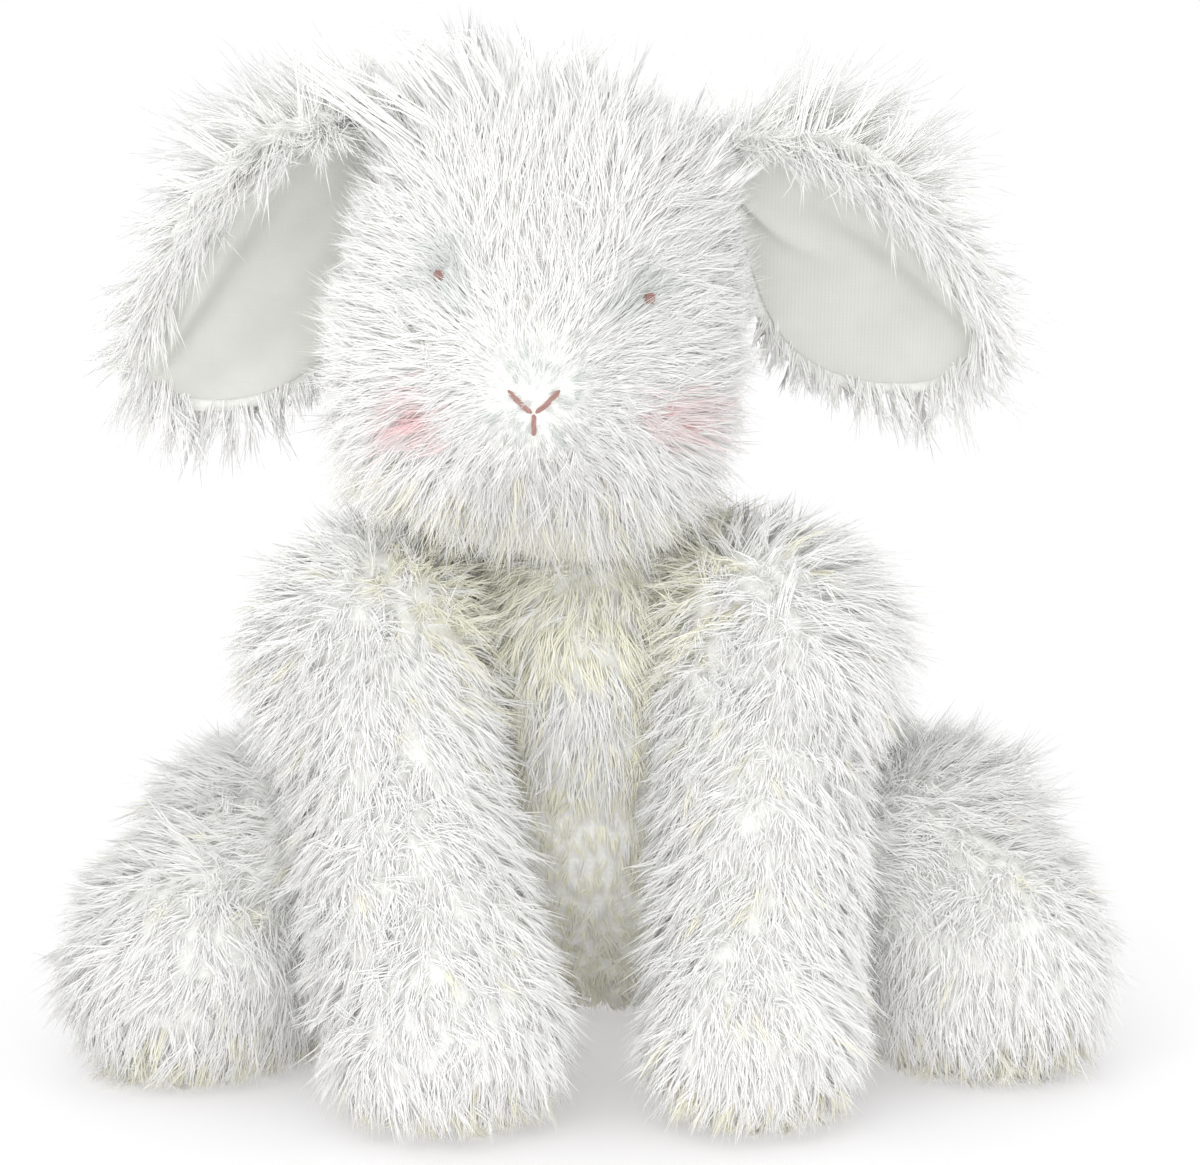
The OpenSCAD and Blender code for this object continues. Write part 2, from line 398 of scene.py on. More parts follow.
def fur_mesh(name, verts, faces, slots, strands, normals):
    me = bpy.data.meshes.new(name)
    me.vertices.add(len(verts))
    me.vertices.foreach_set("co", verts.astype(np.float32).ravel())
    me.loops.add(len(faces) * 3)
    me.loops.foreach_set("vertex_index", faces.astype(np.int32).ravel())
    me.polygons.add(len(faces))
    me.polygons.foreach_set("loop_start", np.arange(0, len(faces) * 3, 3, dtype=np.int32))
    me.polygons.foreach_set("material_index", slots.astype(np.int32))
    me.polygons.foreach_set("use_smooth", np.ones(len(faces), bool))
    strand_uv(me, strands)
    me.update(calc_edges=True)
    me.normals_split_custom_set_from_vertices(normals)
    return me


def strand_uv(me, strand):
    """A cell of the map for each strand, so that the strands' colours can be stored in an image."""
    side = math.ceil(math.sqrt(strand.max() + 1))
    corner = np.array([(0.15, 0.15), (0.85, 0.15), (0.5, 0.85)])
    cell = np.stack([strand % side, strand // side], 1)
    uv = (cell[:, None] + corner[None]) / side
    layer = me.uv_layers.new(name="OFBake")
    layer.data.foreach_set("uv", uv.astype(np.float32).ravel())


def spikes(curves, radii, tints, outward):
    """Closed three-sided spikes along the curves: vertices, triangles, and each triangle's material
    and strand. Last come shading normals, turned towards outward, so that the pile shades as one soft
    surface."""
    n, steps, _ = curves.shape
    tangent = unit(np.gradient(curves, axis=1))
    ref = np.where(np.abs(tangent[:, :1, 2:]) < 0.9, np.array([[[0, 0, 1.0]]]), np.array([[[1.0, 0, 0]]]))
    a = unit(np.cross(tangent, np.broadcast_to(ref, tangent.shape)))
    b = np.cross(tangent, a)
    rings = steps - 1
    angle = np.arange(3) * 2 * math.pi / 3
    ring = curves[:, :rings, None] + radii[:, :rings, None, None] * (
        np.cos(angle)[None, None, :, None] * a[:, :rings, None]
        + np.sin(angle)[None, None, :, None] * b[:, :rings, None])
    verts = np.concatenate([ring.reshape(n, rings * 3, 3), curves[:, -1:]], 1)
    own = unit(ring - curves[:, :rings, None]).reshape(n, rings * 3, 3)
    normals = unit(PILE * outward[:, None] + (1 - PILE) * np.concatenate([own, tangent[:, -1:]], 1))
    per = rings * 3 + 1
    tri = []
    for k in range(rings - 1):
        for s in range(3):
            p, q = k * 3 + s, k * 3 + (s + 1) % 3
            tri += [(p, q, p + 3), (q, q + 3, p + 3)]
    last = (rings - 1) * 3
    tri += [(last + s, last + (s + 1) % 3, per - 1) for s in range(3)]
    tri += [(0, 2, 1)]
    tri = np.array(tri)
    faces = (tri[None] + (np.arange(n) * per)[:, None, None]).reshape(-1, 3)
    return (verts.reshape(-1, 3), faces, np.repeat(tints, len(tri)), np.repeat(np.arange(n), len(tri)),
            normals.reshape(-1, 3))


def scatter(me, density, seed, weight=None):
    """Seeded points on a mesh: places, normals. density is points per square metre."""
    r = np.random.default_rng(seed)
    co, no, tri = get_co(me), get_normals(me), triangles(me)
    a, b, c = co[tri[:, 0]], co[tri[:, 1]], co[tri[:, 2]]
    area = np.linalg.norm(np.cross(b - a, c - a), axis=1) / 2
    if weight is not None:
        area = area * weight((a + b + c) / 3)
    count = int(area.sum() * density * CANDIDATES)
    pick = r.choice(len(tri), count, p=area / area.sum())
    u, v = r.random(count), r.random(count)
    flip = u + v > 1
    u[flip], v[flip] = 1 - u[flip], 1 - v[flip]
    w = 1 - u - v
    t = tri[pick]
    p = co[t[:, 0]] * w[:, None] + co[t[:, 1]] * u[:, None] + co[t[:, 2]] * v[:, None]
    n = unit(no[t[:, 0]] * w[:, None] + no[t[:, 1]] * u[:, None] + no[t[:, 2]] * v[:, None])
    # one point in each small cube of space, so that no bald gaps are left; larger cubes where fewer
    # points are wanted
    share = 1.0 if weight is None else weight(p)
    size = (CELL / np.sqrt(density * share) * np.ones(count))[:, None]
    size = np.exp2(np.round(np.log2(size) * 4) / 4)
    key = np.floor(p / size).astype(np.int64) + 4096
    code = (key[:, 0] << 40) ^ (key[:, 1] << 20) ^ key[:, 2]
    code ^= np.round(size[:, 0] * 1e6).astype(np.int64) << 50
    _, first = np.unique(code, return_index=True)
    first = np.sort(first)
    return p[first], n[first]


def tangential(v, n):
    return unit(v - (v * n).sum(-1, keepdims=True) * n)


def grow(fur, me, seed, density, per_clump, look, tint, keep=None, weight=None, steps=4):
    """Grows clumps of strands on a mesh.
    look(p, n) gives, for each clump: flow, length, lean0 and lean1 (radians from the normal, at the root
    and the tip), sag, clump (its radius), gather, thick, fuzz, stray, swirl, and for the shading normals
    turn (towards the front) and soft (share of the skin's normal). tint(tip, r) gives the material
    number."""
    r = np.random.default_rng(seed)
    p, n = scatter(me, density, seed + 1, weight)
    if keep is not None:
        k = keep(p, n)
        p, n = p[k], n[k]
    made = look(p, n)
    clumps = len(p)
    one = np.ones(clumps)
    want = unit(made["flow"])
    along = np.linalg.norm(want - (want * n).sum(1)[:, None] * n, axis=1)
    swirl = np.stack([waves(p, 34 * MM, seed + 20 + i) for i in range(3)], 1)
    flow = tangential(want + swirl * (made.get("swirl", 0.3) * one)[:, None]
                      + r.normal(size=(clumps, 3)) * (made.get("stray", 0.3) * one)[:, None], n)
    length = made["length"] * one * r.uniform(0.75, 1.15, clumps)
    upright = r.random(clumps) < 0.2
    up = (0.55 + 0.45 * smooth(along, 0.1, 0.6)) * np.where(upright, r.uniform(0.5, 0.8, clumps), 1)
    lean0 = ((made["lean0"] * one + r.normal(size=clumps) * 0.12) * up)[:, None]
    lean1 = ((made["lean1"] * one + r.normal(size=clumps) * 0.2) * up)[:, None]
    sag = (made.get("sag", 0.0) * one)[:, None]
    d0 = unit(n * np.cos(lean0) + flow * np.sin(lean0))
    d1 = unit(n * np.cos(lean1) + flow * np.sin(lean1) + DOWN * sag)
    tints = tint(p + (d0 + d1) * length[:, None] * 0.42, r)
    # the strands of each clump
    owner = np.repeat(np.arange(clumps), per_clump)
    strands = len(owner)
    spread = (made["clump"] * one)[owner] * np.sqrt(r.random(strands))
    angle = r.uniform(0, 2 * math.pi, strands)
    side = tangential(np.cross(n, flow), n)[owner]
    offset = spread[:, None] * (np.cos(angle)[:, None] * side + np.sin(angle)[:, None] * flow[owner])
    reach = (length[owner] * r.uniform(0.6, 1.08, strands))[:, None, None]
    t = np.linspace(0, 1, steps)[None, :, None]
    gather = (made["gather"] * r.uniform(0.35, 1.15, clumps))[owner][:, None, None]
    own = r.normal(size=(strands, 1, 3)) * (made.get("fuzz", 0.08) * one)[owner][:, None, None]
    core = d0[owner][:, None] * t + (d1 - d0)[owner][:, None] * t * t / 2
    curves = p[owner][:, None] - n[owner][:, None] * 0.8 * MM + offset[:, None] * (1 - gather * t ** 0.7) \
        + reach * (core + own * t * t)
    # off the floor, and under the highest point that the piece may reach
    low = 0.45 * MM + r.random((strands, 1)) * 1.1 * MM
    z = curves[:, :, 2]
    z = np.where(z < low, low + (z - low) * 0.03, z)
    high = TOP - r.random((strands, 1)) * 3 * MM
    z = np.where(z > high, high + (z - high) * 0.1, z)
    curves[:, :, 2] = np.clip(z, 0.3 * MM, TOP)
    thick = (made["thick"] * one)[owner] * r.uniform(0.75, 1.2, strands)
    profile = np.interp(t[0, :, 0], (0, 0.5, 0.8, 1), (1.0, 0.97, 0.8, 0.3))
    turn = (made.get("turn", 0.7) * smooth(-n[:, 1], -0.7, 0.1))[:, None] * np.array((0, -1.0, 0))
    shade = unit(n + turn) * (made.get("soft", 1.7) * one)[:, None]
    fur.add(curves, thick[:, None] * profile[None], tints[owner], shade[owner])


def tints_by(painted_shade=None):
    """Tint rule: white fur, with the beige tone of painted shade where the given mask, 0 to 1 at each point,
    says so.
    """
    def tint(p, r):
        if painted_shade is None:
            return np.zeros(len(p), int)
        return (r.random(len(p)) < painted_shade(p)).astype(int)
    return tint


TOP = 274.6 * MM         # no strand passes this height
CANDIDATES = 4           # points tried for each one kept
CELL = 1.13              # side of a sampling cube, as a share of the mean spacing
PILE = 0.5               # how far the strands' shading follows the skin under them
HAIR = 0.17 * MM         # usual radius of a strand
SOLE = 4 * MM            # skin below this height lies on the floor and carries less fur
# the second tone is the beige painted shade
BASIC = ("white", "painted_shade")
CLUMPS = 0.125e6         # clumps per square metre: about 3 mm apart
TUFTS = 0.02e6           # and long tufts over the crown
STRANDS = 11
SHARE = 1.0

# ---------------------------------------------------------------- torso
TORSO = skin_mesh("torso_skin", carve=[f"{n}_skin" for n in LIMBS])
torso = new_object("torso_plush", TORSO, "torso", ["torso_skin"], [M_SKIN])


def near_limb(p):
    """Distance from each point to the nearest limb's surface, in metres: below zero inside it."""
    best = np.full(len(p), 1.0)
    for name in LIMBS:
        t, d, _ = axis_share(p, name)
        r0 = ARM_TOP if name.startswith("arm") else LEG_TOP
        rad = r0 + (limb_radius(name) - r0) * np.clip(t, 0, 1)
        best = np.minimum(best, d - rad)
    return best


def torso_look(p, n):
    out = p - np.array((0.004, 0.03, 0.0))
    out[:, 2] = 0
    flow = DOWN + 0.3 * unit(out)
    front = smooth(-n[:, 1], 0.1, 0.7)
    belly = front * (1 - smooth(p[:, 2], 68 * MM, 82 * MM))
    bib = front * smooth(p[:, 2], 88 * MM, 108 * MM)
    hid = 1 - smooth(near_limb(p), 0, 7 * MM)
    throat = smooth(p[:, 2], 120 * MM, 138 * MM)
    length = np.maximum((13.5 - 6 * belly + 4 * bib - 4 * hid + 3 * throat) * MM, 6 * MM)
    return dict(flow=flow, length=length, lean0=0.8 + 0.35 * belly - 0.1 * bib,
                lean1=1.2 + 0.25 * belly - 0.1 * bib, sag=0.15, clump=2.1 * MM - 0.4 * MM * belly,
                gather=0.85 - 0.45 * belly, thick=HAIR, fuzz=0.09 - 0.04 * belly, swirl=0.3 - 0.2 * belly,
                turn=0.7 + 1.3 * throat)


def under_chin(p):
    """1 in the shade under the chin and between the shoulders, 0 away from it."""
    middle = np.array((-8, -42, 142)) * MM
    return 1 - smooth(np.linalg.norm(p - middle, axis=1), 28 * MM, 54 * MM)


# share of strands in the beige painted-shade tone: low on the belly front, at the throat, under the chin and
# where the limbs meet the torso
def torso_painted_shade(p):
    low = (1 - smooth(p[:, 2], 60 * MM, 90 * MM)) * smooth(-p[:, 1], -15 * MM, 5 * MM)
    high = smooth(p[:, 2], 122 * MM, 140 * MM) * smooth(-p[:, 1], -25 * MM, 10 * MM)
    throat = np.maximum(under_chin(p), high)
    return 0.02 + 0.88 * np.maximum(np.maximum(low, throat), 1 - smooth(near_limb(p), 4 * MM, 16 * MM))


torso_fur = Fur("torso_fur", "torso", BASIC)
grow(torso_fur, TORSO, seed=11, density=CLUMPS * SHARE, per_clump=STRANDS, look=torso_look,
     tint=tints_by(torso_painted_shade), steps=3, keep=lambda p, n: near_limb(p) > -3 * MM,
     weight=lambda c: np.where(c[:, 2] < SOLE, 0.35, 1.0))
torso_fur.build()

# ---------------------------------------------------------------- limbs
# share of strands in the beige painted-shade tone: where the limb meets the floor and under the chin
def limb_painted_shade(p):
    ground = 0.5 * (1 - smooth(p[:, 2], 2 * MM, 10 * MM))
    return 0.02 + np.maximum(ground, 0.8 * under_chin(p))


for name, (a, b) in LIMBS.items():
    arm = name.startswith("arm")
    me = skin_mesh(f"{name}_skin")
    co, no = get_co(me), get_normals(me)
    t, _, _ = axis_share(co, name)
    outer = smooth(no[:, 0] * np.sign(b[0]), -0.2, 0.6)
    if arm:
        swell = (1 - smooth(t, 0.0, 0.45)) * smooth(no[:, 2] + outer, 0.2, 1.0) * 5 * MM
    else:
        swell = np.exp(-((t - 0.35) / 0.35) ** 2) * smooth(no[:, 2], 0.1, 0.8) * 8 * MM
    co = co + no * (swell + waves(co, 46 * MM, 5) * 0.9 * MM)[:, None]
    co[:, 2] = np.maximum(co[:, 2], FLOOR_GAP)
    set_co(me, co)
    o = new_object(f"{name}_plush", me, name, [f"{name}_skin"], [M_SKIN])
    axis = unit(b - a)

    def limb_look(p, n, name=name, axis=axis, arm=arm):
        t, _, near = axis_share(p, name)
        end = smooth(t, 0.75, 1.15)
        top = 1 - smooth(t, -0.05, 0.25)
        flow = axis + (0.3 + 1.6 * end)[:, None] * DOWN + 0.15 * unit(p - near)
        flow = flow + (0.9 * top if arm else 0 * top)[:, None] * np.array((np.sign(b[0]), -0.2, 0))
        haunch = 0 * t if arm else np.exp(-((t - 0.4) / 0.4) ** 2) * smooth(n[:, 2], 0.0, 0.6)
        front = end * smooth(-p[:, 1], 95 * MM, 112 * MM)
        sole = (1 - smooth(p[:, 2], 6 * MM, 16 * MM)) * smooth(-p[:, 1], 70 * MM, 95 * MM)
        full = 5 * smooth(n[:, 0], -0.2, 0.5) if name.endswith("left") else 0
        length = 14 + (4 + full) * haunch + (4 + full) * top * arm - 2 * front - 6 * sole
        length = np.maximum(length, 6) * MM
        return dict(flow=flow, length=length, swirl=0.45, turn=0.7 + 1.3 * top,
                    lean0=0.75 - 0.2 * top - 0.2 * haunch, lean1=1.15 - 0.15 * top - 0.2 * haunch, sag=0.15,
                    clump=2.2 * MM, gather=0.9, thick=HAIR, fuzz=0.1)

    fur = Fur(f"{name}_fur", name, BASIC)
    grow(fur, me, seed=100 + len(name) + (7 if "left" in name else 0), density=CLUMPS * SHARE,
         per_clump=STRANDS, look=limb_look, tint=tints_by(limb_painted_shade),
         weight=lambda c: np.where(c[:, 2] < SOLE, 0.85, 1.0), steps=3)
    fur.build()

# ---------------------------------------------------------------- head
HEAD = skin_mesh("head_skin", voxel=2.5 * MM, inset=1 * MM)
EYES = [centre(f"eye_{s}") for s in SIDES]
co, no = get_co(HEAD), get_normals(HEAD)
for e in EYES:
    d = np.linalg.norm(co - e, axis=1)
    co -= no * (3.2 * MM * np.exp(-(d / (8 * MM)) ** 2))[:, None]
set_co(HEAD, co)
head = new_object("head_plush", HEAD, "head", ["head_skin"], [M_SKIN])
NOSE = (centre("nose_stitch_left") + centre("nose_stitch_right")) / 2
BLUSH = [np.array((-49, 178)) * MM, np.array((29.5, 178)) * MM]     # x and z of each pink cheek


def eye_distance(p):
    d = np.array([np.linalg.norm(p - e, axis=1) for e in EYES])
    return d.min(0), d.argmin(0)


def head_look(p, n):
    q = to_head(p)
    nose = to_head(NOSE)
    away = q - nose
    away[:, 1] *= 0.6
    flow = unit(away) @ HEAD_TURN.T
    crown = smooth(q[:, 2], 26 * MM, 46 * MM)
    back = smooth(q[:, 1], 5 * MM, 25 * MM)
    flow = flow * (1 - back)[:, None] + back[:, None] * (DOWN * 0.8 + np.array((0, 0.3, 0)))
    low = smooth(-q[:, 2], 5 * MM, 30 * MM)
    flow = flow + DOWN * (0.35 * low)[:, None]
    from_nose = np.linalg.norm(q - nose, axis=1)
    d, which = eye_distance(p)
    near = 1 - smooth(d, 3 * MM, 14 * MM)
    apart = p - np.array(EYES)[which]
    above = smooth(apart[:, 2], 1 * MM, 6 * MM)
    flow = flow + unit(apart) * (1.5 * near * (1 - 0.8 * above))[:, None]
    length = 14 * MM * (0.45 + 0.55 * smooth(from_nose, 5 * MM, 32 * MM))
    length = length * (0.4 + 0.6 * smooth(d, 2.5 * MM, 13 * MM))
    chin = smooth(-q[:, 2], 18 * MM, 38 * MM) * (1 - back)
    length = length + 8 * MM * chin
    muzzle = 1 - smooth(from_nose, 8 * MM, 28 * MM)
    tall = crown * (1 - back)
    return dict(flow=flow, length=length + 2 * MM * tall, lean0=0.85 + 0.3 * muzzle - 0.35 * tall,
                lean1=1.2 + 0.2 * muzzle - 0.45 * tall,
                sag=0.1 * (1 - crown) * (1 - muzzle) + 0.35 * chin, clump=1.9 * MM - 0.5 * MM * muzzle,
                gather=0.7, thick=0.14 * MM, fuzz=0.11, turn=(0.7 + 1.0 * tall) * (1 - muzzle),
                soft=1.7 - 1.3 * muzzle)


def head_tint(p, r):
    """Numbers: 0 white, 1 the beige tone of painted shade, 2 the grey tone of painted shade, 3 blush, 4 pale
    blush.
    """
    d = np.min([np.hypot(p[:, 0] - b[0], p[:, 2] - b[1]) for b in BLUSH], axis=0)
    d = np.where(p[:, 1] < -35 * MM, d, 1.0)
    pink = r.random(len(p))
    # painted shade: the beige tone on the underside of the head
    t = (r.random(len(p)) < 0.35 * smooth(-to_head(p)[:, 2], 38 * MM, 50 * MM)).astype(int)
    eye, which = eye_distance(p)
    # painted shade: the grey tone above and round each eye, for the brow's shadow
    over = smooth((p - np.array(EYES)[which])[:, 2], -5 * MM, 2 * MM)
    t = np.where(r.random(len(p)) < over * (1 - smooth(eye, 5 * MM, 14 * MM)), 2, t)
    # painted shade: the grey tone round the nose, darkening the brightly lit muzzle
    muzzle = 1 - smooth(np.linalg.norm(p - NOSE, axis=1), 6 * MM, 22 * MM)
    t = np.where(r.random(len(p)) < 0.75 * muzzle, 2, t)
    t = np.where(pink < 0.9 - smooth(d, 6 * MM, 14 * MM), 4, t)
    return np.where(pink < 0.6 - 0.8 * smooth(d, 1 * MM, 10 * MM), 3, t)


FACE_THREADS = ("nose_stitch_left", "nose_stitch_right", "mouth_stitch")
STROKES = np.concatenate([get_co(nodes[k].data) for k in FACE_THREADS])


def clear_of_face(p, n):
    """No roots at the eyes or under the nose and mouth threads."""
    gap = np.array([np.linalg.norm(STROKES - q, axis=1).min() if abs(q[0] - NOSE[0]) < 12 * MM else 1.0
                    for q in p])
    return (eye_distance(p)[0] > 1.9 * MM) & (gap > 1.3 * MM)


# the third tone is the grey painted shade of the face
head_fur = Fur("head_fur", "head", (*BASIC, "grey_painted_shade", "blush", "blush_pale"))


def face_share(c):
    """More, finer tufts round the nose and the eyes."""
    nose = 1 - smooth(np.linalg.norm(c - NOSE, axis=1), 12 * MM, 26 * MM)
    eye = 1 - smooth(eye_distance(c)[0], 6 * MM, 12 * MM)
    return 1 + 1.2 * np.maximum(nose, eye)


grow(head_fur, HEAD, seed=31, density=CLUMPS * 1.5 * SHARE, per_clump=13, look=head_look, tint=head_tint,
     keep=clear_of_face, weight=face_share, steps=3)


def tuft_look(p, n):
    lean = np.abs(waves(p, 20 * MM, 77))
    flow = waves(p, 25 * MM, 78)[:, None] * np.array((1.0, 0, 0)) + np.array((0, -0.2, 0.3))
    tall = smooth(-p[:, 0], 5 * MM, 25 * MM) + 0.8 * smooth(-p[:, 0], 24 * MM, 42 * MM)
    flow = flow + (0.5 * tall)[:, None] * np.array((-1.0, 0, 0.4))
    return dict(flow=flow, length=(23 + 13 * tall) * MM, lean0=0.2 + 0.2 * lean, lean1=0.4 + 0.3 * lean,
                sag=0, clump=2.2 * MM, gather=0.95, thick=0.22 * MM, fuzz=0.07, turn=2.0)


grow(head_fur, HEAD, seed=47, density=TUFTS * SHARE, per_clump=12, look=tuft_look, tint=tints_by(),
     keep=lambda p, n: (to_head(p)[:, 2] > 34 * MM) & (p[:, 1] > -45 * MM) & (p[:, 1] < 12 * MM))
head_fur.build()

# ---------------------------------------------------------------- neck
NECK = skin_mesh("neck_stuffing", inset=2 * MM)
neck = new_object("neck_plush", NECK, "neck", ["neck_stuffing"], [M_SKIN])
neck_fur = Fur("neck_fur", "neck", BASIC)
# the neck, in the head's shade, is painted mostly in the beige tone of painted shade
grow(neck_fur, NECK, seed=91, density=CLUMPS * SHARE, per_clump=STRANDS,
     look=lambda p, n: dict(flow=DOWN + 0.4 * n, length=11 * MM, lean0=0.7, lean1=1.2, sag=0.1,
                            clump=2 * MM, gather=0.7, thick=HAIR, fuzz=0.1, turn=2.0),
     tint=tints_by(lambda p: 0.8 + 0 * p[:, 0]), keep=lambda p, n: n[:, 2] > -0.5, steps=3)
neck_fur.build()

# ---------------------------------------------------------------- ears
LOWER_EDGE = 1.6         # how late each edge of the ear is widest
UPPER_EDGE = 0.75


def ear_matrix(side):
    sign, droop, sweep = EARS[side]
    m = Matrix.Translation(Vector(HEAD_AT)) @ Matrix.Rotation(HEAD_ROLL, 4, "Y")
    m = m @ Matrix.Translation((sign * EAR_ROOT[0], EAR_ROOT[1], EAR_ROOT[2]))
    if sign < 0:
        m = m @ Matrix.Scale(-1, 4, (1, 0, 0))
    return np.array(m @ Matrix.Rotation(droop, 4, "Y") @ Matrix.Rotation(sweep, 4, "Z")
                    @ Matrix.Rotation(math.pi / 2 + EAR_LEAN, 4, "X"))


def ear_half(t, late):
    """Half width at a share of the length: the larger late is, the nearer the widest place is to the tip."""
    return EAR_WIDTH / 2 * np.sin(np.pi * np.clip(t, 0, 1) ** late) ** (1 - 0.5 * t)


def ear_side(t, v):
    """Half width on the lower edge's side, v below zero, or on the upper edge's."""
    return np.where(v < 0, ear_half(t, LOWER_EDGE), ear_half(t, UPPER_EDGE))


def ear_rise(u, v, side):
    """How far the ear's middle surface stands off flat: cupped edges, a bent length and soft folds."""
    body = np.sin(np.pi * np.clip(u, 0, 1)) ** 0.8
    cup = 3.5 * MM * v ** 2 * body + 3 * MM * smooth(v, 0.2, 1) * body
    bow = -5 * MM * np.sin(np.pi * u * 0.9) * smooth(u, 0, 0.4)
    seed = 3 if side == "left" else 8
    pts = np.stack([u * 0.106, v * 0.03 + u * 0.01, u * 0], -1).reshape(-1, 3)
    fold = waves(pts * np.array((0.35, 1.4, 1)), 34 * MM, seed, 2).reshape(u.shape) * 1.2 * MM * body
    if side == "right":
        ridge = 3.2 * MM * np.exp(-((v - 0.62 + 0.35 * u) / 0.13) ** 2) * smooth(u, 0.15, 0.5)
    else:
        ridge = 2.4 * MM * np.exp(-((v - 0.1 - 0.5 * u) / 0.1) ** 2) * smooth(u, 0.25, 0.5)
        ridge = ridge * (1 - smooth(u, 0.75, 1))
        ridge = ridge + 2.2 * MM * np.exp(-((v + 0.5 - 0.9 * u) / 0.12) ** 2) * (1 - smooth(u, 0.3, 0.6))
    return cup + bow + fold + ridge * body


def ear_grid(side, inset, nu=44, nv=30):
    i = np.linspace(0, 1, nu)
    share = np.sin(np.pi / 2 * i) * 0.999 + 0.0005
    v = np.sin(np.linspace(-1, 1, nv) * np.pi / 2)
    u, v = np.meshgrid(share, v, indexing="ij")
    length = EAR_LENGTH + EAR_SPREAD - 2 * inset
    narrow = 1 + 2 * (EAR_SPREAD - inset) / EAR_WIDTH
    half = ear_side(u, v) * narrow
    return u, v, inset + u * length, v * half


def slab(name, top, under):
    """A closed mesh between two grids of points."""
    nu, nv = top.shape[:2]
    idx = np.arange(nu * nv).reshape(nu, nv)
    q = np.stack([idx[:-1, :-1], idx[1:, :-1], idx[1:, 1:], idx[:-1, 1:]], -1).reshape(-1, 4)
    ring = np.concatenate([idx[:, 0], idx[-1, 1:], idx[-2::-1, -1], idx[0, -2:0:-1]])
    wall = np.stack([np.roll(ring, -1), ring, ring + nu * nv, np.roll(ring, -1) + nu * nv], -1)
    pts = np.concatenate([top.reshape(-1, 3), under.reshape(-1, 3)])
    me = mesh_of(name, pts, [*q, *(q[:, ::-1] + nu * nv), *wall])
    bm = bmesh.new()
    bm.from_mesh(me)
    bmesh.ops.remove_doubles(bm, verts=bm.verts, dist=0.03 * MM)
    bmesh.ops.dissolve_degenerate(bm, edges=bm.edges, dist=0.01 * MM)
    bmesh.ops.recalc_face_normals(bm, faces=bm.faces)
    bm.to_mesh(me)
    bm.free()
    shade_smooth(me)
    return me


def ear_shell(name, side, inset, front, thick, rim):
    """Closed thin mesh in the shared frame: front is its front side's height over the middle surface."""
    u, v, x, y = ear_grid(side, inset)
    share = x / (EAR_LENGTH + EAR_SPREAD)
    half = ear_side(share, v) * (1 + 2 * EAR_SPREAD / EAR_WIDTH)
    z = ear_rise(share, np.clip(y / np.maximum(half, 1 * MM), -1, 1), side)
    edge = np.clip(1 - np.abs(v) ** rim, 0, 1) ** 0.5 * np.clip(1 - (2 * u - 1) ** (2 * rim), 0, 1) ** 0.5
    m = ear_matrix(side)
    top, under = (np.stack([x, y, z + front - thick / 2 + h], -1) @ m[:3, :3].T + m[:3, 3]
                  for h in (thick / 2 * edge, -thick / 2 * edge - 0.05 * MM))
    return slab(name, top, under)


M_SATIN = cloth_material("ear_satin", (0.70, 0.71, 0.665), (0.65, 0.66, 0.615), 0.5 * MM, 0.42, 0.25,
                         0.25, 0.5)

t = np.linspace(0, 1, 400)
LINING_INSET = 4.5 * MM

